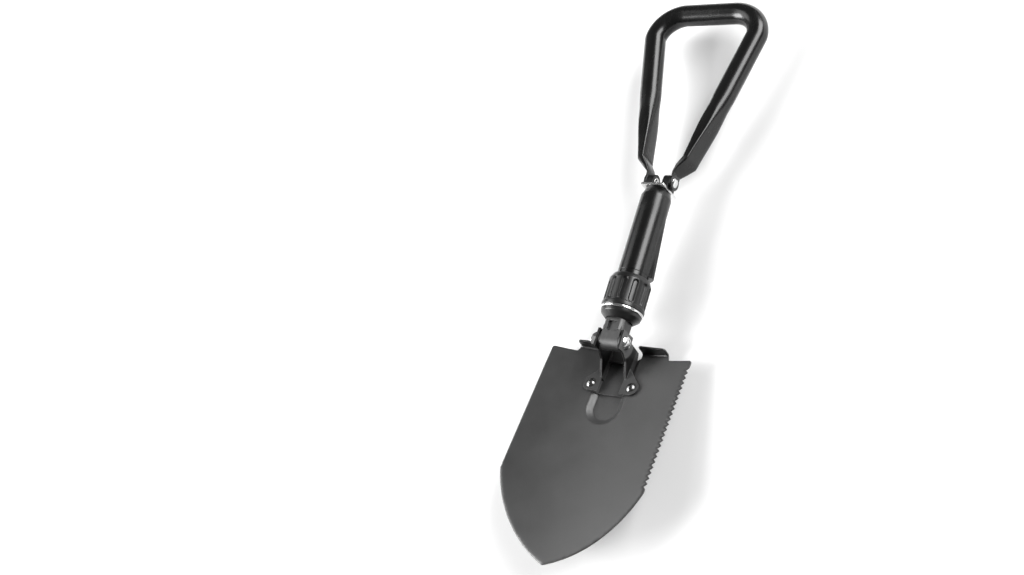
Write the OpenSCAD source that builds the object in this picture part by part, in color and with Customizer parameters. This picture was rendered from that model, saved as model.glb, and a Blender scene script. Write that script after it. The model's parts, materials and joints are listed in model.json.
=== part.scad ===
// Three-fold camp shovel, unfolded and lying face up.
// X runs across the blade, Y runs from the blade's tip to the grip, Z is up, out of the blade's front.
// Everything is drawn about the blade's hinge axis and then moved to the frame's origin.

/* [Blade] */
// Width of the blade over its straight sides
blade_w = 150; // [130:1:170]
// Length of the straight sides
blade_side = 131; // [110:1:150]
// Length of the pointed end, from the shoulders to the tip
blade_point = 76.5; // [65:1:90]
// Radius of the curved edges of the point
blade_edge_r = 127; // [120:1:200]
// Thickness of the blade's sheet
blade_t = 2; // [1.5:0.1:3]
// How far the middle lies behind the side edges
blade_dish = 9; // [6:0.5:10]
// Distance from the hinge axis back to the side edges
blade_drop = 17; // [16:0.5:20]
// How far the open blade leans forward of the shaft, in degrees
blade_lift = 9; // [4:0.5:9]
// Pitch of the saw teeth
tooth_pitch = 5.25; // [4:0.25:7]
// Depth of the saw teeth
tooth_depth = 3; // [2:0.25:4]
// Length of the foot step over both wings
step_w = 94; // [80:1:94]
// Height of the foot step in front of the blade
step_h = 13; // [8:0.5:14]

/* [Hinge] */
// Diameter of the hinge bolt
bolt_d = 8; // [6:0.5:8]
// Gap between the bracket's ears
ear_gap = 23.6; // [23:0.1:25]
// Thickness of the bracket's sheet
bracket_t = 2.2; // [1.8:0.1:2.5]
// Spacing of the two bracket rivets
rivet_spacing = 43; // [41:0.5:46]

/* [Shaft] */
// Outside diameter of the tube
tube_d = 30; // [29:0.5:31]
// Wall of the tube
tube_wall = 2; // [1.5:0.1:2.5]
// Distance from the blade's hinge axis to the end plate
shaft_l = 158; // [150:1:180]
// Diameter of the lock collar
collar_d = 41.5; // [40:0.5:42]
// Length of the lock collar
collar_l = 33; // [30:1:36]
// Travel of the collar when it is unscrewed
collar_travel = 4; // [2:0.5:4]

/* [Handle] */
// Length of the handle from its pivots to the top of the grip
handle_l = 210; // [205:1:225]
// Width of the handle at its widest
handle_w = 138; // [130:1:142]
// Diameter of the handle's tube where it is round
handle_tube = 22; // [19:0.5:23]

/* [Hidden] */
$fn = 48;
eps = 0.01;

black_paint = [0.07, 0.07, 0.075];
black_plastic = [0.04, 0.04, 0.045];
grey_paint = [0.30, 0.30, 0.31];
zinc = [0.72, 0.72, 0.74];
bright_steel = [0.85, 0.85, 0.87];

// Fits: running is the radial clearance of a pin in another body's bore, gap is between moving faces
running = 0.05;
gap = 0.3;

// Blade, in its own frame: hinge axis at the origin and no lift
blade_top = 1;
blade_corner_r = 3;
blade_back = blade_drop + blade_dish;
shoulder_y = -blade_top - blade_side;
tip_y = shoulder_y - blade_point;
dish_r = (pow(blade_w / 2, 2) + pow(blade_dish, 2)) / (2 * blade_dish);
tooth_start = 7;
tooth_count = floor((blade_side - tooth_start) / tooth_pitch);

// Pressed recess in the blade's middle
recess_d = 4;
recess_y = -72;
recess_floor_r = 14.3;
recess_mouth_r = 18;
step_inner = 19;
step_y = 4.2;

// Hinge bracket
ear_in = ear_gap / 2;
ear_out = ear_in + bracket_t;
ear_r = 9.2;
ear_corner_r = 12.9;
ear_end = -27;
ear_back = 5;
seat_up = 1.4;
rivet_x = rivet_spacing / 2;
rivet_y = -33;
rivet_r = 2.6;
rivet_head_r = 4.6;
rivet_tail_r = 2.8;
rivet_head_h = 2.4;
lobe_r = 7.6;
bracket_end = -41;
bolt_r = bolt_d / 2;

// Shaft
tube_r = tube_d / 2;
tube_bore_r = tube_r - tube_wall;
tube_start = 29.8;
end_r = 12.2;
neck_r = 12.3;
neck_from = shaft_l - 26;
neck_to = shaft_l - 10;
neck_bore_r = neck_r - tube_wall;
tang_w = 19.2;
tang_r = 8.6;
tang_neck_r = 12.4;
cone_y = 20;
cone_step = 25;
ring_y = 28.2;
ring_t = 2.6;
collar_y = ring_y + ring_t + 0.2;
collar_r = collar_d / 2;
sleeve_r = 17.2;
thread_bore_r = sleeve_r + running;
swell_y = collar_y + collar_l + collar_travel + 0.6;
swell_end = 133;
swell_r = 20;

// Handle
plate_t = 2.2;
plate_depth = 30;
pivot_up = 10.5;
pivot_y = shaft_l + pivot_up;
lug_in = 5.2;
lug_out = 12.4;
lug_r = 7.4;
tab_in = 12.7;
tab_t = 2.7;
tab_r = 8;
pin_r = 3;
corner_l = 40;

// The frame's origin is below the middle of the tool, on the surface it lies on
first_y = tip_y * cos(blade_lift) - (blade_back + blade_t) * sin(blade_lift);
origin_y = (pivot_y + handle_l + first_y) / 2;
origin_z = blade_top * sin(blade_lift) - (blade_back + recess_d + blade_t) * cos(blade_lift);

// ---------- placing ----------
module in_frame() translate([0, -origin_y, -origin_z]) children();
module in_blade() in_frame() rotate([-blade_lift, 0, 0]) children();
// A cylinder along Y from y0 to y1
module rod_y(r, y0, y1) translate([0, y0, 0]) rotate([-90, 0, 0]) cylinder(r = r, h = y1 - y0);
// A cylinder along X from x0 to x1
module rod_x(r, x0, x1) translate([x0, 0, 0]) rotate([0, 90, 0]) cylinder(r = r, h = x1 - x0);
// A profile given as [radius, y] points, turned about the Y axis
module turned_y(points) rotate([-90, 0, 0]) rotate_extrude($fn = 96) polygon(points);
// A profile given as [radius, x] points, turned about the X axis
module turned_x(points) rotate([0, 90, 0]) rotate_extrude() polygon(points);

// ---------- blade ----------
// Points along the arc of radius r from p to q, bulging to the right of the way from p to q
function arc_between(p, q, r, steps) =
    let (mid = (p + q) / 2, d = q - p, half = norm(d) / 2,
         side = [-d[1], d[0]] / norm(d), c = mid + side * sqrt(r * r - half * half),
         a0 = atan2(p[1] - c[1], p[0] - c[0]), a1 = atan2(q[1] - c[1], q[0] - c[0]),
         turn = a1 - a0 > 180 ? a1 - a0 - 360 : (a1 - a0 < -180 ? a1 - a0 + 360 : a1 - a0))
    [for (i = [0 : steps]) c + r * [cos(a0 + turn * i / steps), sin(a0 + turn * i / steps)]];

function mirrored(points) = [for (i = [len(points) - 1 : -1 : 0]) [-points[i][0], points[i][1]]];

module blade_outline() {
    half = blade_w / 2;
    point_left = arc_between([-half, shoulder_y], [0, tip_y], blade_edge_r, 24);
    point_right = mirrored(point_left);
    saw = [for (i = [tooth_count : -1 : 1])
               let (y = -blade_top - tooth_start - i * tooth_pitch)
               each [[half, y], [half - tooth_depth, y + tooth_pitch * 0.45]]];
    corner_right = [for (a = [0 : 15 : 90])
                        [half - blade_corner_r + blade_corner_r * cos(a),
                         -blade_top - blade_corner_r + blade_corner_r * sin(a)]];
    corner_left = mirrored(corner_right);
    polygon(concat(point_left, [for (i = [1 : len(point_right) - 1]) point_right[i]],
                   saw, corner_right, corner_left));
    // Raised stretches of the top edge that carry the foot step
    for (side = [-1, 1]) scale([side, 1])
        polygon([[step_inner, -blade_top - 2], [step_w / 2 + 3, -blade_top - 2], [step_w / 2, step_y + eps],
                 [step_inner, step_y + eps]]);
}

// Outline of the pressed recess, open at the blade's top edge
module recess_outline(r) {
    translate([0, recess_y + recess_mouth_r]) circle(r = r, $fn = 32);
    translate([-r, recess_y + recess_mouth_r]) square([2 * r, 10 - recess_y - recess_mouth_r]);
}

// The recess as a solid with sloping sides, grown by a wall
module recess_body(grow, raise) hull() {
    translate([0, 0, -blade_back + 1.2]) linear_extrude(eps) recess_outline(recess_mouth_r + grow);
    translate([0, 0, -blade_back - recess_d - raise]) linear_extrude(eps) recess_outline(recess_floor_r + grow);
}

module step_wing() {
    wing = step_w / 2 - step_inner;
    foot = blade_back - blade_drop;
    translate([step_inner, step_y, -blade_back])
        rotate([90, 0, 0]) mirror([0, 0, 1]) linear_extrude(blade_t) polygon([
            [0, -blade_t + 0.4], [wing, foot * 0.39 - blade_t + 0.3], [wing, step_h - 3], [wing - 3, step_h],
            [2, step_h], [0, step_h - 2]]);
}

module blade() color(grey_paint) in_blade() difference() {
    union() {
        intersection() {
            difference() {
                translate([0, 0, dish_r - blade_back]) rotate([90, 0, 0])
                    cylinder(r = dish_r + blade_t, h = 600, center = true, $fn = 180);
                translate([0, 0, dish_r - blade_back]) rotate([90, 0, 0])
                    cylinder(r = dish_r, h = 700, center = true, $fn = 180);
            }
            translate([0, 0, -blade_back - blade_t - 1]) linear_extrude(blade_dish + 5) blade_outline();
        }
        intersection() {
            recess_body(blade_t, blade_t);
            translate([-40, recess_y - 10, -60]) cube([80, 10 - recess_y - blade_top, 60.4 - blade_back]);
        }
        step_wing();
        mirror([1, 0, 0]) step_wing();
    }
    recess_body(0, 0);
    for (side = [-1, 1]) translate([side * rivet_x, rivet_y, -60]) cylinder(r = rivet_r, h = 60);
}

// ---------- hinge ----------
module bracket_plan() {
    for (side = [-1, 1]) {
        translate([side * rivet_x, rivet_y]) circle(r = lobe_r);
        polygon([[side * ear_in, bracket_end], [side * rivet_x, rivet_y - lobe_r],
                 [side * (rivet_x + 4), rivet_y + 6.4], [side * ear_out, -14], [side * ear_in, -14]]);
    }
    translate([-ear_out, bracket_end]) square([2 * ear_out, -4 - bracket_end]);
}

module ear_profile() {
    circle(r = ear_r);
    intersection() {
        rotate(8) square(2 * ear_r, center = true);
        circle(r = ear_corner_r);
    }
    polygon([[0, 0], [-ear_r, -2], [-13.2, -11.5], [-21, -17.5], [ear_end, -blade_back + 2.5],
             [ear_end, -blade_back - 3], [-2, -blade_back - 3], [ear_back, -blade_back - 0.5],
             [ear_back, -ear_r + 1]]);
}

module ear() difference() {
    translate([ear_in, 0, 0]) rotate([90, 0, 90]) linear_extrude(bracket_t) ear_profile();
    rod_x(bolt_r, 0, 40);
}

module hinge_bracket() color(black_paint) in_blade() difference() {
    union() {
        ear();
        mirror([1, 0, 0]) ear();
        // The seat: wings on the blade's face and a floor pressed down into the recess
        difference() {
            intersection() {
                union() {
                    translate([0, 0, -blade_back + seat_up]) linear_extrude(bracket_t) bracket_plan();
                    recess_body(-eps, -eps);
                }
                translate([0, 0, -60]) linear_extrude(60) bracket_plan();
            }
            translate([0, 0, bracket_t]) recess_body(-bracket_t / 2, 0);
            translate([-ear_in, bracket_end - 1, -blade_back + seat_up]) cube([2 * ear_in, 60, 20]);
        }
        // The back, which joins the ears behind the tang
        translate([-ear_in - eps, -8, -blade_back - 0.5]) cube([2 * (ear_in + eps), 8 + ear_back, bracket_t]);
    }
    for (side = [-1, 1]) translate([side * rivet_x, rivet_y, -60]) cylinder(r = rivet_r, h = 60);
}

module dome_head(r, h) {
    // A shallow dome that stands on the XY plane
    ball = (r * r + h * h) / (2 * h);
    intersection() {
        translate([0, 0, h - ball]) sphere(r = ball, $fn = 64);
        cylinder(r = r, h = h);
    }
}

module bracket_rivet(side) color(zinc) in_blade() translate([side * rivet_x, rivet_y, 0]) {
    face = -blade_back + seat_up + bracket_t;
    back = -blade_back - blade_t + 0.45;
    translate([0, 0, back - 1]) cylinder(r = rivet_r, h = face - back + 1 + eps);
    translate([0, 0, face]) dome_head(rivet_head_r, rivet_head_h);
    translate([0, 0, back]) mirror([0, 0, 1]) dome_head(rivet_tail_r, rivet_head_h - 1.6);
}
module bracket_rivet_left() bracket_rivet(-1);
module bracket_rivet_right() bracket_rivet(1);

module hinge_bolt() color(bright_steel) in_blade() difference() {
    union() {
        rod_x(bolt_r, -ear_out - 8, ear_out + eps);
        translate([ear_out, 0, 0]) rotate([0, 90, 0]) dome_head(6.6, 4);
    }
    // Cross recess in the head
    for (turn = [0, 90])
        translate([ear_out + 4, 0, 0]) rotate([turn + 45, 0, 0]) cube([3.4, 1.5, 7], center = true);
}

module hinge_nut() color(bright_steel) in_blade() difference() {
    intersection() {
        translate([-ear_out - 6, 0, 0]) rotate([0, 90, 0]) cylinder(r = 7.5, h = 6, $fn = 6);
        translate([-ear_out - 6.5, 0, 0]) rotate([0, 90, 0]) cylinder(r1 = 6, r2 = 12.5, h = 6.5);
    }
    rod_x(bolt_r, -40, 0);
}

module hinge_washer(side) color(zinc) in_blade() difference() {
    scale([side, 1, 1]) rod_x(8.6, tang_w / 2 + gap, ear_in);
    rod_x(bolt_r, -40, 40);
}
module hinge_washer_left() mirror([1, 0, 0]) hinge_washer(1);
module hinge_washer_right() hinge_washer(1);

// ---------- shaft ----------
module main_tube() color(black_paint) in_frame() difference() {
    union() {
        turned_y([[0, tube_start], [tube_r, tube_start], [tube_r, shaft_l - 8], [end_r + 0.7, shaft_l - 2],
                  [end_r, shaft_l], [0, shaft_l]]);
        // The back of the tube swells towards the collar
        intersection() {
            turned_y([[0, swell_y], [swell_r - 1, swell_y], [swell_r, swell_y + 1], [tube_r - 0.2, swell_end],
                      [0, swell_end]]);
            translate([-swell_r, 0, -2 - swell_r]) cube([2 * swell_r, swell_end, swell_r]);
        }
    }
    turned_y([[0, tube_start - 1], [tube_bore_r, tube_start - 1], [tube_bore_r, neck_from],
              [neck_bore_r, neck_to], [neck_bore_r, shaft_l + 1], [0, shaft_l + 1]]);
    translate([0, 40, 0]) cylinder(r = 2.5, h = 80, center = true);
}

module tang() color(zinc) in_frame() difference() {
    union() {
        // Nose round the bolt
        rod_x(tang_r, -tang_w / 2, tang_w / 2);
        translate([-tang_w / 2, 0, -tang_r]) cube([tang_w, 12.5, 2 * tang_r]);
        // Waist inside the thrust cone
        intersection() {
            rod_y(tang_neck_r, 0, tube_start + 4);
            translate([-20, 0, -tang_r - 1.4]) cube([40, 60, 2 * tang_r + 2.8]);
            translate([-tang_w / 2 - 1, 9.2, -20]) cube([tang_w + 2, 60, 40]);
        }
        rod_y(tube_bore_r, tube_start + 3, 52);
    }
    rod_x(bolt_r + running, -40, 40);
    rod_y(3.2, 14, 60);
    translate([0, 40, 0]) cylinder(r = 2.5, h = 80, center = true);
    // Shallow relief down the middle of each broad face
    for (side = [-1, 1]) scale([1, 1, side]) translate([-4.5, 8, tang_r - 0.9]) cube([9, 9, 4]);
}

module tang_pin() color(zinc) in_frame() translate([0, 40, 0]) difference() {
    cylinder(r = 2.5, h = 2 * tube_r - 1, center = true);
    rotate([90, 0, 0]) cylinder(r = 1.6, h = 20, center = true);
}

module thread_sleeve() color(bright_steel) in_frame() difference() {
    thread_from = tube_start + 1;
    thread_to = collar_y + collar_l - 6;
    pitch = 2;
    crest = sleeve_r;
    root = sleeve_r - 0.8;
    turns = floor((thread_to - thread_from) / pitch);
    turned_y(concat([[tube_r, thread_from]],
                    [for (i = [0 : turns - 1]) each [[root, thread_from + i * pitch],
                                                     [crest, thread_from + (i + 0.5) * pitch]]],
                    [[root, thread_from + turns * pitch], [tube_r, thread_from + turns * pitch]]));
}

module handle_clevis() color(black_paint) in_frame() difference() {
    union() {
        rod_y(neck_bore_r, shaft_l - 18, shaft_l);
        translate([-8, shaft_l - eps, -6]) cube([16, plate_t + 2 * eps, 12]);
        intersection() {
            union() {
                translate([0, pivot_y, 0]) rod_x(lug_r, -lug_out, lug_out);
                translate([-lug_out, shaft_l + plate_t, -lug_r])
                    cube([2 * lug_out, pivot_up - plate_t, 2 * lug_r]);
            }
            translate([-lug_out, shaft_l, -20]) cube([2 * lug_out, 40, 40]);
        }
    }
    translate([-lug_in, shaft_l + plate_t + 2.4, -20]) cube([2 * lug_in, 40, 40]);
    translate([0, pivot_y, 0]) rod_x(pin_r + running, -40, 40);
    rod_y(2.1, 0, shaft_l - 6);
}

module end_plate() color(bright_steel) in_frame() difference() {
    translate([0, shaft_l + plate_t, 0]) rotate([90, 0, 0]) linear_extrude(plate_t)
        offset(delta = 0.6, chamfer = true) square([2 * neck_r - 1.2, plate_depth - 1.2], center = true);
    translate([-8, shaft_l - 1, -6]) cube([16, 10, 12]);
}

// ---------- lock mechanism inside the tube ----------
module lock_rod() color(zinc) in_frame() rod_y(2, 54, shaft_l - 7);

module spring_seat() color(zinc) in_frame() difference() {
    rod_y(tube_bore_r - 0.4, 104, 107);
    rod_y(2.05, 100, 110);
}

module rod_nut() color(zinc) in_frame() difference() {
    translate([0, 56, 0]) rotate([-90, 0, 0]) cylinder(r = 6, h = 5, $fn = 6);
    rod_y(2, 50, 70);
}

// A helical tube about the Y axis: coil radius r, wire radius w, from y0 up to y1
module coil_y(r, w, y0, y1, turns) {
    per_turn = 12;
    sides = 6;
    n = turns * per_turn;
    points = [for (i = [0 : n]) let (a = 360 * i / per_turn, y = y0 + (y1 - y0) * i / n)
              for (k = [0 : sides - 1]) let (b = 360 * k / sides, q = r + w * cos(b))
              [q * cos(a), y + w * sin(b), q * sin(a)]];
    walls = [for (i = [0 : n - 1]) for (k = [0 : sides - 1])
             let (a = i * sides + k, b = i * sides + (k + 1) % sides) [a + sides, b + sides, b, a]];
    caps = [[for (k = [0 : sides - 1]) k], [for (k = [sides - 1 : -1 : 0]) n * sides + k]];
    polyhedron(points, concat(walls, caps));
}
module lock_spring() color(bright_steel) in_frame() coil_y(7.5, 1, 62.2, 102.8, 9);

// ---------- collar ----------
module thrust_cone() color(black_plastic) in_frame() turned_y([
    [tang_neck_r + gap, cone_y], [tang_neck_r + 1, cone_y], [18.9, cone_step], [19.6, ring_y - gap / 3],
    [17.9, ring_y - gap / 3], [17.9, ring_y + ring_t], [thread_bore_r, ring_y + ring_t],
    [thread_bore_r, cone_step], [tang_neck_r + gap, cone_step]]);

module thrust_ring() color(bright_steel) in_frame() turned_y([
    [17.9, ring_y - gap / 3], [collar_r - 0.5, ring_y - gap / 3], [collar_r + 0.1, ring_y + 0.6],
    [collar_r + 0.1, ring_y + ring_t - 0.6], [collar_r - 0.5, ring_y + ring_t], [17.9, ring_y + ring_t]]);

module lock_collar() color(black_plastic) in_frame() difference() {
    top = collar_y + collar_l;
    flutes = 12;
    flute_r = 3;
    turned_y([[thread_bore_r, collar_y], [collar_r - 0.8, collar_y], [collar_r, collar_y + 0.8],
              [collar_r, collar_y + 3.5], [collar_r - 0.5, collar_y + 4.3], [collar_r - 0.6, top - 5],
              [collar_r - 1.2, top - 3.6], [thread_bore_r + 0.9, top - 0.4], [thread_bore_r + 0.5, top],
              [thread_bore_r, top]]);
    for (i = [0 : flutes - 1]) rotate([0, (i + 0.5) * 360 / flutes, 0])
        translate([0, 0, collar_r + flute_r - 1.7]) {
            rod_y(flute_r, collar_y + 8, top - 8);
            translate([0, collar_y + 8, 0]) sphere(r = flute_r, $fn = 32);
            translate([0, top - 8, 0]) sphere(r = flute_r, $fn = 32);
        }
}

// ---------- handle ----------
// The right half of the handle's centre line, from its tab up to the middle of the grip, as
// [x, distance from the pivot, width in the plane, depth, squareness]
arm_low = [[tab_in + tab_t / 2, 2, tab_t - 0.5, 14, 6], [tab_in + tab_t / 2, 8.5, tab_t - 0.2, 16, 6],
           [18.0, 14.5, 5.6, 21, 4], [24.6, 22, 7.4, 24, 4]];
arm_top_y = handle_l - corner_l;
arm_top_x = (handle_w - handle_tube) / 2;
// The arms are pressed flat at their feet and grow round above
function arm_high(i, n) =
    let (t = i / n, y = 22 + (arm_top_y - 22) * t, grow = min(1, max(0, (t - 0.10) / 0.40)))
    [24.6 + (arm_top_x - 24.6) * t, y, 7.4 + (handle_tube - 7.4) * grow, 24 + (handle_tube - 24) * grow,
     4 - 2 * grow];
grip_flat = 27;
grip_y = handle_l - handle_tube / 2;
corner_steps = 9;
function corner(i) =
    let (a = 90 * i / corner_steps, rx = arm_top_x - grip_flat, ry = grip_y - arm_top_y)
    [grip_flat + rx * cos(a), arm_top_y + ry * sin(a), handle_tube, handle_tube, 2];
half_line = concat(arm_low, [for (i = [1 : 11]) arm_high(i, 12)], [for (i = [0 : corner_steps]) corner(i)],
                   [[12, grip_y, handle_tube, handle_tube, 2], [0, grip_y, handle_tube, handle_tube, 2]]);
line = concat(half_line, [for (i = [len(half_line) - 2 : -1 : 0]) let (p = half_line[i])
                          [-p[0], p[1], p[2], p[3], p[4]]]);

function unit(v) = v / norm(v);
function line_at(i) = [line[i][0], line[i][1]];
function heading(i) = unit(line_at(min(len(line) - 1, i + 1)) - line_at(max(0, i - 1)));
function rounded(c, power) = sign(c) * pow(abs(c), 2 / power);

// The handle's tube, swept along its centre line
module handle_sweep() {
    sides = 24;
    rings = len(line) - 1;
    points = [for (i = [0 : rings]) let (h = heading(i), side = [h[1], -h[0]], p = line[i])
              for (k = [0 : sides - 1]) let (a = 360 * (k + 0.5) / sides,
                  u = p[2] / 2 * rounded(cos(a), p[4]), w = p[3] / 2 * rounded(sin(a), p[4]))
              [p[0] + side[0] * u, p[1] + side[1] * u, w]];
    walls = [for (i = [0 : rings - 1]) for (k = [0 : sides - 1])
             let (a = i * sides + k, b = i * sides + (k + 1) % sides)
             each [[a, b + sides, a + sides], [a, b, b + sides]]];
    caps = [[for (k = [sides - 1 : -1 : 0]) k], [for (k = [0 : sides - 1]) rings * sides + k]];
    polyhedron(points, concat(walls, caps));
}

module handle_frame() color(black_paint) in_frame() translate([0, pivot_y, 0]) difference() {
    union() {
        handle_sweep();
        rod_x(tab_r, tab_in, tab_in + tab_t);
        rod_x(tab_r, -tab_in - tab_t, -tab_in);
    }
    rod_x(pin_r + 0.02, -40, 40);
}

module pivot_rivet(side) color(bright_steel) in_frame() translate([0, pivot_y, 0]) scale([side, 1, 1]) {
    rod_x(pin_r, lug_in - gap / 2, tab_in + tab_t + eps);
    translate([tab_in + tab_t, 0, 0]) rotate([0, 90, 0]) dome_head(5.2, 2);
    translate([lug_in - gap / 2 + eps, 0, 0]) rotate([0, -90, 0]) dome_head(4.6, 1.8);
}
module pivot_rivet_left() mirror([1, 0, 0]) pivot_rivet(1);
module pivot_rivet_right() pivot_rivet(1);

blade();
hinge_bracket();
bracket_rivet_left();
bracket_rivet_right();
hinge_bolt();
hinge_nut();
hinge_washer_left();
hinge_washer_right();
main_tube();
tang();
tang_pin();
thread_sleeve();
handle_clevis();
end_plate();
lock_rod();
lock_spring();
spring_seat();
rod_nut();
thrust_cone();
thrust_ring();
lock_collar();
handle_frame();
pivot_rivet_left();
pivot_rivet_right();
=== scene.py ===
"""Looks of the folding camp shovel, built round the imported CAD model.

The shovel lies face up on a pale studio floor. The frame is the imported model's: X towards the saw edge,
Y from the blade's tip to the grip, Z up, out of the blade's face. Everything is in metres, apart from
the drawn shapes, which are in millimetres until in_tool or in_blade places them.
"""

import json
import math

import bmesh
import bpy
import numpy as np
from mathutils import Matrix, Vector
from mathutils.geometry import delaunay_2d_cdt


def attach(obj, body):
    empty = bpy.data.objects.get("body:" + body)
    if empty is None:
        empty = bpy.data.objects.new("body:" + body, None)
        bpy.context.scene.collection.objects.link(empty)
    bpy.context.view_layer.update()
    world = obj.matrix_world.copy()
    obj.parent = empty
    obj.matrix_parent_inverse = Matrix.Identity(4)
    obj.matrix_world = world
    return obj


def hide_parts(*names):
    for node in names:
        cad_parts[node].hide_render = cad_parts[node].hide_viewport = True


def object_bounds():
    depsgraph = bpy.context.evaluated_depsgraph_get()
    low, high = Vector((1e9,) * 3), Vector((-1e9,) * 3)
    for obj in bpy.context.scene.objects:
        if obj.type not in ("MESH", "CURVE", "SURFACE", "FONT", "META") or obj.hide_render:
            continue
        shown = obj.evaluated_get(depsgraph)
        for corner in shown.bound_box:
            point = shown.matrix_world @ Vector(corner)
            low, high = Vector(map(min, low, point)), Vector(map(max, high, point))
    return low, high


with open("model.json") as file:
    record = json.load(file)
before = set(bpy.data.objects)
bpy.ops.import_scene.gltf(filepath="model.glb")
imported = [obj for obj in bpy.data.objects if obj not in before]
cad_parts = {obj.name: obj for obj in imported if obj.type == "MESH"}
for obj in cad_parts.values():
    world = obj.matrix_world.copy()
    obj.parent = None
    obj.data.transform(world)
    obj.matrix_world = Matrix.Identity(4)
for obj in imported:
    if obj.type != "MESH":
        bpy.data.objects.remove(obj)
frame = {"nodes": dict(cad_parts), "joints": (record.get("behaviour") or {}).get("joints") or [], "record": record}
cad_low, cad_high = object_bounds()

MM = 0.001
NODES = frame["nodes"]
JOINTS = {j["name"]: j for j in frame["joints"]}
HINGE = Vector(JOINTS["blade_fold"]["pos_m"])
PIVOT = Vector(JOINTS["handle_fold"]["pos_m"])
SCENE = bpy.context.scene

# The blade is turned by this angle off the shaft's line, and these are its own directions
LIFT = math.radians(9)
ALONG_BLADE = (0, math.cos(LIFT), -math.sin(LIFT))
OUT_OF_BLADE = (0, math.sin(LIFT), math.cos(LIFT))


# ---------- materials ----------
SOFT_EDGE = 0.0004
DRAWN_DEPTH = 0.00003
# Distances from the hinge bolt at which the blade's grey gives way to the step's painted shade, and the bracket's
# black to its grey seat and to a painted reflection round the bolt, and how softly
STEP_BEND = (0.0008, 0.0026)
SEAT_TOP = -0.0214
SEAT_FADE = 0.0010
EAR_R = 0.0135
EAR_FADE = 0.0015
EAR_FACE = 0.0135
EAR_FACE_FADE = 0.0004


class Tree:
    """A material's node tree with short calls for its nodes and links."""

    def __init__(self, name):
        self.material = bpy.data.materials.new(name)
        self.material.use_nodes = True
        self.nodes = self.material.node_tree.nodes
        self.links = self.material.node_tree.links
        self.shader = self.nodes["Principled BSDF"]
        self.place = self.add("ShaderNodeTexCoord").outputs["Object"]

    def add(self, kind, **values):
        node = self.nodes.new(kind)
        for key, value in values.items():
            setattr(node, key, value)
        return node

    def link(self, source, target):
        self.links.new(source, target)

    def noise(self, scale, detail, rough=0.55, stretch=(1, 1, 1)):
        """Noise of about scale features to the metre, stretched along the axes."""
        mapping = self.add("ShaderNodeMapping")
        mapping.inputs["Scale"].default_value = stretch
        self.link(self.place, mapping.inputs["Vector"])
        node = self.add("ShaderNodeTexNoise")
        node.inputs["Scale"].default_value = scale
        node.inputs["Detail"].default_value = detail
        node.inputs["Roughness"].default_value = rough
        self.link(mapping.outputs["Vector"], node.inputs["Vector"])
        return node.outputs["Fac"]

    def spread(self, value, low, high, to_low=0.0, to_high=1.0):
        """value mapped from low..high to to_low..to_high, clamped."""
        node = self.add("ShaderNodeMapRange")
        for key, number in zip(("From Min", "From Max", "To Min", "To Max"), (low, high, to_low, to_high)):
            node.inputs[key].default_value = number
        self.link(value, node.inputs["Value"])
        return node.outputs["Result"]

    def maths(self, operation, a, b):
        node = self.add("ShaderNodeMath", operation=operation)
        for socket, value in zip(node.inputs, (a, b)):
            if isinstance(value, (int, float)):
                socket.default_value = value
            else:
                self.link(value, socket)
        return node.outputs["Value"]

    def blend(self, factor, a, b):
        """Colour a where factor is 0, colour b where it is 1."""
        node = self.add("ShaderNodeMix", data_type="RGBA")
        self.link(factor, node.inputs["Factor"])
        for key, value in (("A", a), ("B", b)):
            socket = [s for s in node.inputs if s.name == key and s.type == "RGBA"][0]
            if isinstance(value, tuple):
                socket.default_value = (*value, 1)
            else:
                self.link(value, socket)
        return [s for s in node.outputs if s.type == "RGBA"][0]

    def along(self, direction):
        """How far the place lies from the hinge bolt in a direction, in metres."""
        node = self.add("ShaderNodeVectorMath", operation="DOT_PRODUCT")
        self.link(self.place, node.inputs[0])
        node.inputs[1].default_value = direction
        return self.maths("SUBTRACT", node.outputs["Value"], HINGE.dot(Vector(direction)))

    def edges(self, radius):
        """Where the surface turns within radius: 0 on flats, rising to 1 on sharp edges."""
        bevel = self.add("ShaderNodeBevel", samples=6)
        bevel.inputs["Radius"].default_value = radius
        flat = self.add("ShaderNodeNewGeometry")
        dot = self.add("ShaderNodeVectorMath", operation="DOT_PRODUCT")
        self.link(bevel.outputs["Normal"], dot.inputs[0])
        self.link(flat.outputs["Normal"], dot.inputs[1])
        return self.spread(dot.outputs["Value"], 0.995, 0.90)

    def finish(self, colour, roughness, height, depth):
        """Joins colour, roughness and a bump of that depth over softened edges."""
        self.link(colour, self.shader.inputs["Base Color"])
        self.link(roughness, self.shader.inputs["Roughness"])
        soft = self.add("ShaderNodeBevel", samples=6)
        soft.inputs["Radius"].default_value = SOFT_EDGE
        bump = self.add("ShaderNodeBump")
        bump.inputs["Distance"].default_value = depth
        self.link(height, bump.inputs["Height"])
        self.link(soft.outputs["Normal"], bump.inputs["Normal"])
        self.link(bump.outputs["Normal"], self.shader.inputs["Normal"])
        return self.material


def grey(value):
    return (value, value, value)


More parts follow.
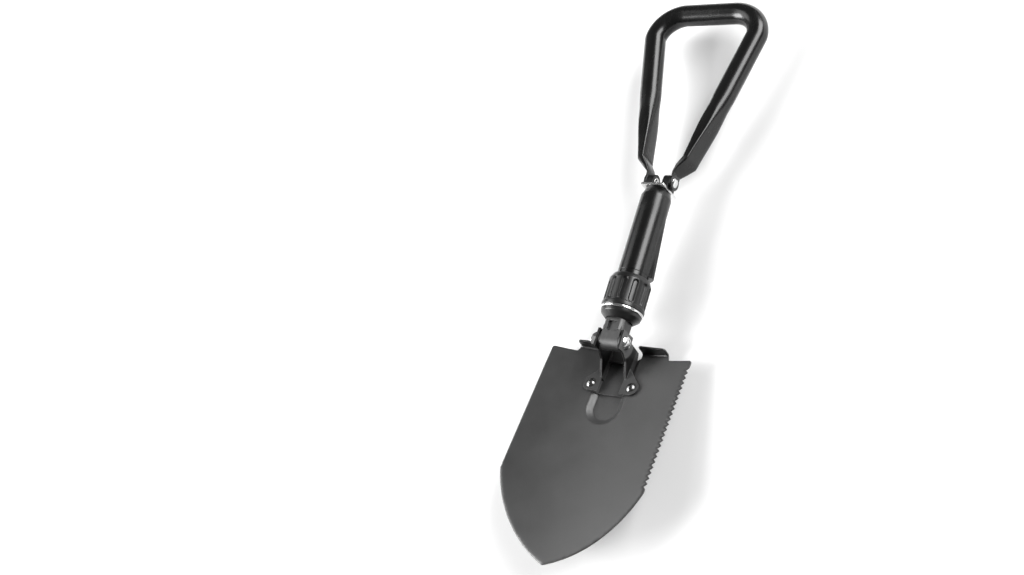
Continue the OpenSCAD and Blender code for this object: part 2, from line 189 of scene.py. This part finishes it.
def coated(name, dark, light, roughness, grain, depth, wear_and_highlight_grey=0.10, wear_and_highlight_share=0.6, level=0.5, second=None):
    """A paint or powder coat over steel: mottled colour, fine grain, and edges lightened partly by rubbing and
    partly as a painted edge highlight.

    second is a function of the tree that gives the share of a second grey over the coat, and that grey: on the
    blade the step's painted shade, on the bracket its grey seat and a painted reflection round the bolt.
    """
    tree = Tree(name)
    tree.shader.inputs["Specular IOR Level"].default_value = level
    cloud = tree.noise(22, 5)
    fine = tree.noise(grain, 3)
    scuffs = tree.noise(160, 6, 0.7, (1, 0.15, 1))
    colour = tree.blend(tree.spread(cloud, 0.35, 0.65), grey(dark), grey(light))
    if second:
        share, shade = second(tree)
        colour = tree.blend(share, colour, grey(shade))
    # Edges are lightened where scuffed: partly by rubbing, partly as a painted edge highlight
    rubbed_and_highlit_edges = tree.maths("MULTIPLY", tree.edges(0.0007), tree.spread(scuffs, 0.42, 0.62, 0, wear_and_highlight_share))
    colour = tree.blend(rubbed_and_highlit_edges, colour, grey(wear_and_highlight_grey))
    rough = tree.maths("ADD", tree.spread(cloud, 0.3, 0.7, roughness - 0.04, roughness + 0.05),
                       tree.spread(scuffs, 0.55, 0.75, 0, 0.08))
    return tree.finish(colour, rough, fine, depth)


def metal(name, dark, light, roughness, stretch):
    """Bare or plated steel with drawn lines along one axis."""
    tree = Tree(name)
    tree.shader.inputs["Metallic"].default_value = 1.0
    cloud = tree.noise(60, 5)
    lines = tree.noise(900, 3, 0.6, stretch)
    colour = tree.blend(tree.spread(cloud, 0.35, 0.65), grey(dark), grey(light))
    rough = tree.spread(lines, 0.3, 0.7, roughness - 0.05, roughness + 0.09)
    return tree.finish(colour, rough, lines, DRAWN_DEPTH)


def plastic(name, dark, light, roughness, grain, depth):
    """Moulded plastic with a fine grain, and its edges painted lighter as an edge highlight."""
    tree = Tree(name)
    cloud = tree.noise(35, 4)
    fine = tree.noise(grain, 2)
    colour = tree.blend(tree.spread(cloud, 0.35, 0.65), grey(dark), grey(light))
    # Painted highlight: the edges are painted lighter
    colour = tree.blend(tree.maths("MULTIPLY", tree.edges(0.0006), 0.35), colour, grey(light * 2.2))
    rough = tree.spread(cloud, 0.3, 0.7, roughness - 0.04, roughness + 0.05)
    return tree.finish(colour, rough, fine, depth)


def step_painted_shade(tree):
    """Painted shade: the foot step, from its bend up, is painted near black."""
    return tree.spread(tree.along(ALONG_BLADE), *STEP_BEND), 0.004


def grey_seat_and_painted_reflection(tree):
    """The bracket is blade grey where it lies on the blade, and a painted reflection puts grey round the bolt on
    the outer face of its right ear.
    """
    seat = tree.spread(tree.along(OUT_OF_BLADE), SEAT_TOP - SEAT_FADE, SEAT_TOP, 1, 0)
    y = tree.along((0, 1, 0))
    z = tree.along((0, 0, 1))
    reach = tree.maths("SQRT", tree.maths("ADD", tree.maths("POWER", y, 2), tree.maths("POWER", z, 2)), 0)
    # Painted reflection: grey round the bolt on the right ear's outer face
    ear = tree.maths("MULTIPLY", tree.spread(reach, EAR_R, EAR_R + EAR_FADE, 1, 0),
                     tree.spread(tree.along((1, 0, 0)), EAR_FACE, EAR_FACE + EAR_FACE_FADE))
    return tree.maths("MAXIMUM", tree.maths("MULTIPLY", seat, 0.45), ear), 0.085


# The coats' edges are lightened partly as a painted edge highlight; the blade's second grey is the step's painted
# shade, and the bracket's holds a painted reflection on its right ear
LOOKS = {
    "blade_paint": coated("blade_coat", 0.030, 0.037, 0.40, 1500, 0.00006, wear_and_highlight_grey=0.20, level=0.7,
                          second=step_painted_shade),
    "black_paint": coated("black_coat", 0.003, 0.006, 0.34, 1800, 0.00003, wear_and_highlight_grey=0.10, level=0.4),
    "bracket": coated("bracket_coat", 0.003, 0.005, 0.40, 1800, 0.00003, wear_and_highlight_grey=0.16, level=0.3,
                      second=grey_seat_and_painted_reflection),
    "tube_paint": coated("gloss_black", 0.003, 0.005, 0.25, 900, 0.00001, wear_and_highlight_grey=0.05, wear_and_highlight_share=0.4),
    "tang_metal": metal("grey_steel", 0.09, 0.13, 0.48, (1, 0.1, 1)),
    "zinc": metal("zinc_plate", 0.42, 0.52, 0.30, (1, 1, 1)),
    "dull_zinc": metal("dull_zinc", 0.16, 0.24, 0.24, (1, 1, 1)),
    "bright_steel": metal("bright_plate", 0.72, 0.82, 0.18, (1, 1, 0.3)),
    "spring_steel": metal("spring_wire", 0.45, 0.55, 0.30, (1, 1, 1)),
    "collar_plastic": plastic("collar_black", 0.006, 0.010, 0.30, 700, 0.00002),
}


def dress(obj, look):
    """Gives every material slot of obj one look."""
    if not obj.data.materials:
        obj.data.materials.append(LOOKS[look])
    for index in range(len(obj.material_slots)):
        obj.material_slots[index].material = LOOKS[look]


# Nodes whose look isn't the one their material slot names
OWN_LOOK = {
    "hinge_bracket": "bracket",
    "bracket_rivet_left": "dull_zinc",
    "bracket_rivet_right": "dull_zinc",
    "hinge_nut": "tang_metal",
    "hinge_washer_left": "tang_metal",
    "hinge_washer_right": "tang_metal",
}
for part in frame["record"]["subparts"]:
    dress(NODES[part["node"]], OWN_LOOK.get(part["node"], part["material_slot"]))

# ---------- shapes ----------
# Driving dimensions in millimetres. Places are measured from the hinge bolt, the blade's along the blade
BLADE_HALF = 75.0
BLADE_TOP = -1.0
SHOULDER = -132.0
TIP = -208.5
EDGE_R = 127.0
SHEET = 2.0
RIM_WIDTH = 0.45
RIM_DEPTH = 0.35
GROUND_WIDTH = 2.4
GROUND_DEPTH = 0.30
DISH = 9.0
BLADE_BACK = -26.0
TOOTH_PITCH = 5.25
TOOTH_DEPTH = 3.0
TOOTH_START = 7.0
STEP_INNER = 19.0
STEP_OUTER = 47.0
STEP_Y = 4.2
STEP_TOP = -13.0
BEND_R = 2.0
RECESS_END = -54.0
RECESS_MOUTH = 18.3
RECESS_WALL = 5.8
RECESS_FLOOR = -30.0
TUBE_R = 15.0
TUBE_BORE_R = 13.0
TUBE_FROM = 29.8
SHAFT = 158.0
END_BORE_R = 10.3
SWELL_FROM = 68.6
SWELL_TO = 133.0
SWELL_R = 20.0
SWELL_GROOVE = 0.5
CONE_FROM = 20.0
CONE_SHOULDER = 25.0
CONE_BORE_R = 12.7
CONE_NOSE_R = 13.4
CONE_SHOULDER_R = 18.9
CONE_R = 19.6
RING_FROM = 28.2
RING_TO = 30.8
RING_BORE_R = 17.9
COLLAR_FROM = 31.0
COLLAR_TO = 64.0
COLLAR_R = 20.75
COLLAR_BAND = 0.55
BORE_R = 17.25
FLUTES = 12
FLUTE_DEPTH = 1.7
FLUTE_HALF = 3.3
FLUTE_EDGE = 1.5
# What lies further in from a turned part's outside than this is its bore, which no bulge reaches
SKIN = 2.5
CORNER_STEPS = 4


def in_tool(points):
    """Millimetre points about the hinge bolt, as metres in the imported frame."""
    return np.asarray(points, float) * MM + np.array(HINGE)


def in_blade(points):
    """The same for points drawn along the blade, which is lifted off the shaft's line."""
    p = np.asarray(points, float)
    c, s = math.cos(LIFT), math.sin(LIFT)
    return in_tool(np.column_stack((p[:, 0], p[:, 1] * c + p[:, 2] * s, p[:, 2] * c - p[:, 1] * s)))


def piece(name, points, faces, body, look, node, crease):
    """A mesh piece that stands for a CAD node: smooth, with edges over crease degrees kept sharp."""
    mesh = bpy.data.meshes.new(name)
    mesh.from_pydata([tuple(p) for p in points], [], faces)
    mesh.validate()
    work = bmesh.new()
    work.from_mesh(mesh)
    bmesh.ops.remove_doubles(work, verts=work.verts, dist=1e-6)
    bmesh.ops.recalc_face_normals(work, faces=work.faces)
    work.to_mesh(mesh)
    work.free()
    mesh.shade_smooth()
    mesh.set_sharp_from_angle(angle=math.radians(crease))
    obj = bpy.data.objects.new(name, mesh)
    SCENE.collection.objects.link(obj)
    dress(obj, look)
    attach(obj, body)
    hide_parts(node)


def smooth(t):
    """0 below 0, 1 above 1, with a soft S between them."""
    t = np.clip(t, 0, 1)
    return t * t * (3 - 2 * t)


def lathe(profile, bulge=None, around=144):
    """Rings of a [radius, y] profile turned about the shaft; bulge(angle, r, y) may change the radius."""
    angles = np.linspace(0, 2 * math.pi, around, endpoint=False)
    rows = []
    for r, y in profile:
        radius = np.full(around, float(r)) if bulge is None else bulge(angles, r, y)
        rows.append(np.column_stack((radius * np.cos(angles), np.full(around, y), radius * np.sin(angles))))
    faces = []
    for i in range(len(profile)):
        low = i * around
        high = (i + 1) % len(profile) * around
        for k in range(around):
            nxt = (k + 1) % around
            faces.append((low + k, low + nxt, high + nxt, high + k))
    return np.vstack(rows), faces


def fillet(corner, before, after, reach):
    """Points that round a corner from reach before it to reach after it."""
    corner, before, after = (np.array(v, float) for v in (corner, before, after))
    a = corner + (before - corner) / np.linalg.norm(before - corner) * reach
    b = corner + (after - corner) / np.linalg.norm(after - corner) * reach
    steps = np.linspace(0, 1, CORNER_STEPS + 1)
    return [(1 - t) ** 2 * a + 2 * t * (1 - t) * corner + t * t * b for t in steps]


def rounded(points, radius):
    """A closed [radius, y] profile with its corners rounded, less where the next corner is near."""
    made = []
    for i, corner in enumerate(points):
        before = points[i - 1]
        after = points[(i + 1) % len(points)]
        reach = min(radius, 0.45 * math.dist(corner, before), 0.45 * math.dist(corner, after))
        made += fillet(corner, before, after, reach)
    return made


# ---------- blade ----------
def arc(p, q, radius, steps):
    """Points from p to q on an arc that bulges away from the blade's middle."""
    p = np.array(p, float)
    q = np.array(q, float)
    half = np.linalg.norm(q - p) / 2
    side = np.array([-(q - p)[1], (q - p)[0]]) / (2 * half)
    centre = (p + q) / 2 + side * math.sqrt(radius ** 2 - half ** 2)
    start = math.atan2(*(p - centre)[::-1])
    turn = math.atan2(*(q - centre)[::-1]) - start
    turn = (turn + math.pi) % (2 * math.pi) - math.pi
    angles = [start + turn * i / steps for i in range(steps + 1)]
    return [centre + radius * np.array([math.cos(a), math.sin(a)]) for a in angles]


def dish(x):
    """How far the blade's face rises from its middle line out to x."""
    radius = (BLADE_HALF ** 2 + DISH ** 2) / (2 * DISH)
    return radius - np.sqrt(radius ** 2 - np.asarray(x, float) ** 2)


BEND_END = STEP_Y - BEND_R + BEND_R * math.pi / 2


def wing_top(x):
    """Where the foot step's top edge lies in the flat sheet, above x."""
    return BEND_END + STEP_TOP - BLADE_BACK - BEND_R - float(dish(x))


def wing_outline():
    """The right half of the sheet's top edge, from the blade's corner in to the middle."""
    knots = [(BLADE_HALF, BLADE_TOP - 12), (BLADE_HALF, BLADE_TOP), (STEP_OUTER + 2.2, BLADE_TOP),
             (STEP_OUTER, STEP_Y), (STEP_OUTER, wing_top(STEP_OUTER)), (STEP_INNER, wing_top(STEP_INNER)),
             (STEP_INNER, BLADE_TOP), (0, BLADE_TOP)]
    reach = [3.0, 1.2, 1.0, 3.4, 2.4, 1.2]
    made = []
    for i in range(1, len(knots) - 1):
        made += fillet(knots[i], knots[i - 1], knots[i + 1], reach[i - 1])
    return made


def blade_outline():
    """The flat sheet's outline from the left shoulder round the tip, up the saw edge and along the top."""
    left = arc((-BLADE_HALF, SHOULDER), (0, TIP), EDGE_R, 40)
    right = [np.array([-p[0], p[1]]) for p in left[::-1]]
    saw = []
    root = BLADE_HALF - TOOTH_DEPTH
    count = int((BLADE_TOP - SHOULDER - TOOTH_START) / TOOTH_PITCH)
    for i in range(count, 0, -1):
        y = BLADE_TOP - TOOTH_START - i * TOOTH_PITCH
        saw += [(BLADE_HALF, y), (BLADE_HALF - 0.25, y + 0.3), (root, y + TOOTH_PITCH * 0.45),
                (root + 0.1, y + TOOTH_PITCH * 0.5), (BLADE_HALF - 0.3, y + TOOTH_PITCH * 0.95)]
    top = wing_outline()
    top_left = [(-p[0], p[1]) for p in top[::-1]]
    return np.array([tuple(p) for p in left + right[1:] + saw + top + top_left], float)


def spaced(points, step):
    """The closed outline with points added where they are more than step apart."""
    made = []
    for p, q in zip(points, np.roll(points, -1, axis=0)):
        count = max(1, int(np.linalg.norm(q - p) / step))
        made += [p + (q - p) * i / count for i in range(count)]
    return np.array(made)


def edge_distance(points, outline):
    """Distance of each point inside the outline from it, negative outside."""
    tiny = 1e-12
    best = np.full(len(points), 1e9)
    inside = np.zeros(len(points), bool)
    for p, q in zip(outline, np.roll(outline, -1, axis=0)):
        d = q - p
        t = np.clip(((points - p) @ d) / max(d @ d, tiny), 0, 1)
        best = np.minimum(best, np.linalg.norm(points - p - t[:, None] * d, axis=1))
        crosses = (p[1] > points[:, 1]) != (q[1] > points[:, 1])
        where = d[0] * (points[:, 1] - p[1]) / (d[1] if abs(d[1]) > tiny else tiny) + p[0]
        inside ^= crosses & (points[:, 0] < where)
    return np.where(inside, best, -best)


def grid(x0, x1, y0, y1, step_x, step_y):
    """Evenly spaced points over a box of the flat sheet."""
    return np.array([(x, y) for x in np.arange(x0, x1, step_x) for y in np.arange(y0, y1, step_y)])


def recess_share(x, y):
    """0 on the blade's face, 1 on the flat floor of the pressed recess."""
    from_line = np.where(y > RECESS_END, np.abs(x), np.hypot(x, y - RECESS_END))
    share = np.clip((RECESS_MOUTH - from_line) / RECESS_WALL, 0, 1)
    return 0.8 * share + 0.2 * smooth(share)


def sheet_surface(flat):
    """The face's points for points of the flat sheet: dished, pressed and bent up at the step."""
    x = flat[:, 0]
    v = flat[:, 1]
    share = recess_share(x, v)
    z = (BLADE_BACK + dish(x)) * (1 - share) + RECESS_FLOOR * share
    start = STEP_Y - BEND_R
    turn = np.clip((v - start) / BEND_R, 0, math.pi / 2)
    y = np.minimum(v, start) + BEND_R * np.sin(turn)
    z = z + BEND_R * (1 - np.cos(turn)) + np.maximum(0, v - BEND_END)
    return np.column_stack((x, y, z))


def surface_normals(flat):
    """The face's unit normals at points of the flat sheet."""
    step = 0.05
    along_x = sheet_surface(flat + (step, 0)) - sheet_surface(flat - (step, 0))
    along_y = sheet_surface(flat + (0, step)) - sheet_surface(flat - (0, step))
    normal = np.cross(along_x, along_y)
    return normal / np.linalg.norm(normal, axis=1)[:, None]


def sheet_mesh(outline):
    """Points and triangles that fill the outline: evenly, finer over the recess and over the step's bend."""
    whole = grid(-BLADE_HALF - 1, BLADE_HALF + 1, TIP - 1.5, BLADE_TOP, 2.6, 2.6)
    recess = grid(-22, 22, -75, BLADE_TOP, 0.8, 0.9)
    bend = grid(-50, 50, -3, 18, 1.7, 0.45)
    field = np.vstack((whole, recess, bend))
    field = field[edge_distance(field, outline) > 2 * RIM_WIDTH]
    heading = np.roll(outline, -1, axis=0) - np.roll(outline, 1, axis=0)
    inward = np.column_stack((-heading[:, 1], heading[:, 0]))
    inward /= np.linalg.norm(inward, axis=1)[:, None]
    ring = outline + inward * RIM_WIDTH
    ring = ring[edge_distance(ring, outline) > RIM_WIDTH * 2 / 3]
    every = [Vector(p) for p in np.vstack((outline, ring, field))]
    bounds = [(i, (i + 1) % len(outline)) for i in range(len(outline))]
    made = delaunay_2d_cdt(every, bounds, [], 1, 1e-4)
    return np.array([tuple(p) for p in made[0]], float), [tuple(f) for f in made[2]]


def make_blade():
    outline = spaced(blade_outline(), 1.6)
    flat, triangles = sheet_mesh(outline)
    room = np.abs(edge_distance(flat, outline))
    ground = np.where(flat[:, 1] < SHOULDER + 4, 1.0, 0.0)
    rim = RIM_DEPTH * smooth(1 - room / RIM_WIDTH) + GROUND_DEPTH * ground * smooth(1 - room / GROUND_WIDTH)
    face = sheet_surface(flat)
    normal = surface_normals(flat)
    front = face - normal * rim[:, None]
    back = face - normal * (SHEET - rim)[:, None]
    for side in (front, back):
        side[:, 0] = side[:, 0].clip(-BLADE_HALF, BLADE_HALF)
    size = len(flat)
    edges = [(f[i], f[(i + 1) % 3]) for f in triangles for i in range(3)]
    shared = set(edges)
    faces = list(triangles)
    faces += [(a + size, c + size, b + size) for a, b, c in triangles]
    faces += [(b, a, a + size, b + size) for a, b in edges if (b, a) not in shared]
    points = in_blade(np.vstack((front, back)))
    piece("blade_sheet", points, faces, "blade_group", "blade_paint", "blade", 50)


# ---------- shaft ----------
def tube_bulge(angles, r, y):
    """The back of the tube swells towards the collar."""
    if r < TUBE_R - SKIN or not SWELL_FROM <= y <= SWELL_TO:
        return np.full(len(angles), float(r))
    share = (SWELL_TO - y) / (SWELL_TO - SWELL_FROM)
    behind = smooth((-np.sin(angles) - 0.05) / 0.35)
    return r + behind * share * (SWELL_R - TUBE_R)


def make_shaft():
    ys = [TUBE_FROM, 50, SWELL_FROM - 0.02, SWELL_FROM, SWELL_FROM + 0.5, SWELL_FROM + 1.2]
    ys += list(np.linspace(SWELL_FROM + 3, SWELL_TO, 24)) + [SHAFT - 8]
    outside = [(TUBE_R - (SWELL_GROOVE if y == SWELL_FROM else 0), y) for y in ys]
    outside += [(14.75, SHAFT - 7.2), (14.1, SHAFT - 5.4), (13.3, SHAFT - 3.2), (12.7, SHAFT - 1.4),
                (12.2, SHAFT - 0.2), (11.9, SHAFT)]
    inside = [(END_BORE_R, SHAFT), (END_BORE_R, SHAFT - 10), (TUBE_BORE_R, SHAFT - 26),
              (TUBE_BORE_R, TUBE_FROM)]
    points, faces = lathe(outside + inside, tube_bulge)
    piece("shaft_tube", in_tool(points), faces, "shaft", "tube_paint", "main_tube", 30)


# ---------- collar, cone and ring ----------
def collar_bulge(angles, r, y):
    """Shallow flutes round the collar, with rounded ends."""
    if r < COLLAR_R - SKIN:
        return np.full(len(angles), r)
    phase = (angles * FLUTES / (2 * math.pi)) % 1 - 0.5
    across = np.abs(phase) * 2 * math.pi * COLLAR_R / FLUTES
    ends = np.maximum(0, np.maximum(COLLAR_FROM + 7.5 - y, y - (COLLAR_TO - 8.5)))
    away = np.sqrt(across ** 2 + ends ** 2)
    return r - FLUTE_DEPTH * smooth((FLUTE_HALF - away) / FLUTE_EDGE)


def make_collar():
    ys = np.concatenate((np.linspace(COLLAR_FROM + 4.6, COLLAR_FROM + 9, 14),
                         np.linspace(COLLAR_FROM + 10, COLLAR_TO - 10, 8),
                         np.linspace(COLLAR_TO - 9.5, COLLAR_TO - 5.2, 14)))
    body = [(COLLAR_R - COLLAR_BAND, y) for y in ys]
    low = rounded([(BORE_R, COLLAR_FROM), (COLLAR_R, COLLAR_FROM), (COLLAR_R, COLLAR_FROM + 3.6),
                   (COLLAR_R - COLLAR_BAND, COLLAR_FROM + 4.4)], 0.7)
    high = rounded([(COLLAR_R - 0.6, COLLAR_TO - 5), (COLLAR_R - 1.2, COLLAR_TO - 3.6),
                    (BORE_R + 0.9, COLLAR_TO - 0.4), (BORE_R, COLLAR_TO)], 0.5)
    # low and high were rounded as closed profiles, so the points that turn back in them are left out
    points, faces = lathe(low[3:] + body + high[:-3], collar_bulge, 288)
    piece("collar_shell", in_tool(points), faces, "collar", "collar_plastic", "lock_collar", 42)


def make_thrust_parts():
    seat = RING_FROM - 0.1
    cone = rounded([(CONE_BORE_R, CONE_FROM), (CONE_NOSE_R, CONE_FROM), (CONE_SHOULDER_R, CONE_SHOULDER),
                    (CONE_R, seat), (RING_BORE_R, seat), (RING_BORE_R, RING_TO), (BORE_R, RING_TO),
                    (BORE_R, CONE_SHOULDER), (CONE_BORE_R, CONE_SHOULDER)], 0.5)
    points, faces = lathe(cone)
    piece("cone_shell", in_tool(points), faces, "thrust_group", "collar_plastic", "thrust_cone", 42)
    ring = rounded([(RING_BORE_R, seat), (COLLAR_R - 0.5, seat), (COLLAR_R + 0.1, RING_FROM + 0.6),
                    (COLLAR_R + 0.1, RING_TO - 0.6), (COLLAR_R - 0.5, RING_TO), (RING_BORE_R, RING_TO)], 0.3)
    points, faces = lathe(ring)
    piece("ring_shell", in_tool(points), faces, "thrust_group", "bright_steel", "thrust_ring", 42)


# ---------- handle ----------
# Driving dimensions in millimetres from the handle's pivot. An arm's section is [width, depth, squareness],
# where a squareness of 2 is round
HANDLE = 210.0
BAR = 22.0
BAR_SECTION = (BAR, BAR, 2)
KNEE_X = 24.6
KNEE_Y = 22.0
KNEE_SECTION = (7.4, 24, 5.5)
ARM_TOP_X = 58.0
ARM_TOP_Y = 170.0
ARM_STEPS = 60
CORNER_X = 27.0
GRIP_Y = HANDLE - BAR / 2
SIDES = 56
TAB_FROM_X = 12.7
TAB_ROUND = 48
TAB_LOOPS = ((3.02, 0.0), (7.7, 0.0), (8.0, 0.3), (8.0, 2.4), (7.7, 2.7), (3.02, 2.7))


def handle_line():
    """The right half of the handle: [x, distance from the pivot, width, depth, squareness]."""
    made = [(14.05, 2, 2.2, 14, 5), (14.05, 8.5, 2.5, 16, 5), (18.0, 14.5, 5.6, 21, 4.5)]
    made.append((KNEE_X, KNEE_Y, *KNEE_SECTION))
    for i in range(1, ARM_STEPS):
        t = i / ARM_STEPS
        grow = min(1, t / 0.52)
        grow = 0.5 * grow + 0.5 * float(smooth(grow))
        press = float(smooth((t - 0.14) / 0.30))
        width, depth, square = (k + (b - k) * share for k, b, share
                                in zip(KNEE_SECTION, BAR_SECTION, (grow, grow, press)))
        made.append((KNEE_X + (ARM_TOP_X - KNEE_X) * t, KNEE_Y + (ARM_TOP_Y - KNEE_Y) * t,
                     width, depth, square))
    for angle in np.linspace(0, math.pi / 2, 31):
        made.append((CORNER_X + (ARM_TOP_X - CORNER_X) * math.cos(angle),
                     ARM_TOP_Y + (GRIP_Y - ARM_TOP_Y) * math.sin(angle), *BAR_SECTION))
    return made + [(x, GRIP_Y, *BAR_SECTION) for x in (18, 9, 0)]


def sweep(line):
    """Rings of the given sections along a line of handle_line's rows, closed at both ends."""
    angles = 2 * math.pi * (np.arange(SIDES) + 0.5) / SIDES
    cos = np.cos(angles)
    sin = np.sin(angles)
    rings = []
    for i, (x, y, width, depth, square) in enumerate(line):
        heading = line[min(len(line) - 1, i + 1)][:2] - line[max(0, i - 1)][:2]
        heading /= np.linalg.norm(heading)
        u = width / 2 * np.sign(cos) * np.abs(cos) ** (2 / square)
        w = depth / 2 * np.sign(sin) * np.abs(sin) ** (2 / square)
        rings.append(np.column_stack((x + heading[1] * u, y - heading[0] * u, w)))
    faces = []
    for i in range(0, (len(line) - 1) * SIDES, SIDES):
        for k in range(SIDES):
            nxt = (k + 1) % SIDES
            faces.append((i + k, i + nxt, i + SIDES + nxt, i + SIDES + k))
    faces.append(tuple(range(SIDES)))
    faces.append(tuple(range((len(line) - 1) * SIDES, len(line) * SIDES)))
    return np.vstack(rings), faces


def tab(side):
    """A flat round eye with softened edges about the handle's pivot, and its bore."""
    angles = np.linspace(0, 2 * math.pi, TAB_ROUND, endpoint=False)
    loops = [np.column_stack((np.full(TAB_ROUND, side * (TAB_FROM_X + x)), r * np.cos(angles),
                              r * np.sin(angles))) for r, x in TAB_LOOPS]
    faces = []
    for i in range(len(TAB_LOOPS)):
        low = i * TAB_ROUND
        high = (i + 1) % len(TAB_LOOPS) * TAB_ROUND
        for k in range(TAB_ROUND):
            nxt = (k + 1) % TAB_ROUND
            faces.append((low + k, low + nxt, high + nxt, high + k))
    return np.vstack(loops), faces


def make_handle():
    right_half = np.array(handle_line())
    left_half = right_half[-2::-1] * (-1, 1, 1, 1, 1)
    points, faces = sweep(np.vstack((right_half, left_half)))
    for side in (-1, 1):
        eye, eye_faces = tab(side)
        faces += [tuple(v + len(points) for v in face) for face in eye_faces]
        points = np.vstack((points, eye))
    placed = points * MM + np.array(PIVOT)
    piece("d_handle", placed, faces, "handle", "tube_paint", "handle_frame", 30)


make_blade()
make_shaft()
make_collar()
make_thrust_parts()
make_handle()

# ---------- studio ----------
FLOOR_SPAN = 6.0
FLOOR_GAP = 0.0002
WORLD_STRENGTH = 0.12


def make_floor():
    """A pale matt floor just under the shovel."""
    corners = [(-FLOOR_SPAN, -FLOOR_SPAN, 0), (FLOOR_SPAN, -FLOOR_SPAN, 0), (FLOOR_SPAN, FLOOR_SPAN, 0),
               (-FLOOR_SPAN, FLOOR_SPAN, 0)]
    mesh = bpy.data.meshes.new("floor")
    mesh.from_pydata(corners, [], [(0, 1, 2, 3)])
    floor = bpy.data.objects.new("floor", mesh)
    SCENE.collection.objects.link(floor)
    floor.location.z = cad_low.z - FLOOR_GAP
    tree = Tree("studio_floor")
    colour = tree.blend(tree.spread(tree.noise(3, 3), 0.3, 0.7), grey(0.80), grey(0.83))
    rough = tree.spread(tree.noise(40, 3), 0.3, 0.7, 0.75, 0.85)
    mesh.materials.append(tree.finish(colour, rough, tree.noise(300, 2), 0.00001))


def make_world():
    world = bpy.data.worlds.new("studio")
    world.use_nodes = True
    background = world.node_tree.nodes["Background"]
    background.inputs["Color"].default_value = (1, 1, 1, 1)
    background.inputs["Strength"].default_value = WORLD_STRENGTH
    SCENE.world = world


def softbox(name, direction, distance, across, along, radiance):
    """A rectangular light that faces the hinge bolt from distance out along direction.

    Its across side is square to Y, and its along side leans towards Y.
    """
    data = bpy.data.lights.new(name, "AREA")
    data.shape = "RECTANGLE"
    data.size = across
    data.size_y = along
    data.energy = radiance * math.pi * across * along
    lamp = bpy.data.objects.new(name, data)
    SCENE.collection.objects.link(lamp)
    out = Vector(direction).normalized()
    side = Vector((0, 1, 0)).cross(out).normalized()
    lamp.matrix_world = Matrix.Translation(HINGE + out * distance) @ Matrix(
        (side, out.cross(side), out)).transposed().to_4x4()


make_floor()
make_world()

# The strip and the band draw bright lines along the tube and the handle. The key lights the floor from the
# left and leaves a soft shadow on the right
softbox("right_strip", (0.63, 0.54, 0.56), 2.5, 1.3, 2.7, 9.3)
softbox("left_band", (-0.74, 0.15, 0.63), 2.5, 1.6, 1.3, 2.8)
softbox("floor_key", (-0.80, -0.38, 0.46), 2.6, 1.4, 1.6, 16)

# ---------- camera ----------
# The view's turn about Z, its height over the floor and its roll in degrees, how far in metres it is from
# the point it aims at, and its lens and shift
AZIMUTH = 54.109
ELEVATION = 53.203
ROLL = -43.536
DISTANCE = 1.08092
AIM = HINGE + Vector((0.026494, 0.064785, 0))
SENSOR = 36.0
LENS = 40.9472
SHIFT_X = -0.141387
SHIFT_Y = -0.006973


def make_camera():
    azimuth = math.radians(AZIMUTH)
    elevation = math.radians(ELEVATION)
    roll = math.radians(ROLL)
    back = Vector((math.sin(azimuth) * math.cos(elevation), -math.cos(azimuth) * math.cos(elevation),
                   math.sin(elevation)))
    level = Vector((0, 0, 1)).cross(back).normalized()
    upright = back.cross(level)
    right = math.cos(roll) * level + math.sin(roll) * upright
    up = -math.sin(roll) * level + math.cos(roll) * upright
    data = bpy.data.cameras.new("camera")
    data.sensor_width = SENSOR
    data.lens = LENS
    data.shift_x = SHIFT_X
    data.shift_y = SHIFT_Y
    camera = bpy.data.objects.new("camera", data)
    SCENE.collection.objects.link(camera)
    turn = Matrix((right, up, back)).transposed().to_4x4()
    camera.matrix_world = Matrix.Translation(AIM + back * DISTANCE) @ turn
    SCENE.camera = camera


make_camera()
SCENE.view_settings.view_transform = "Standard"
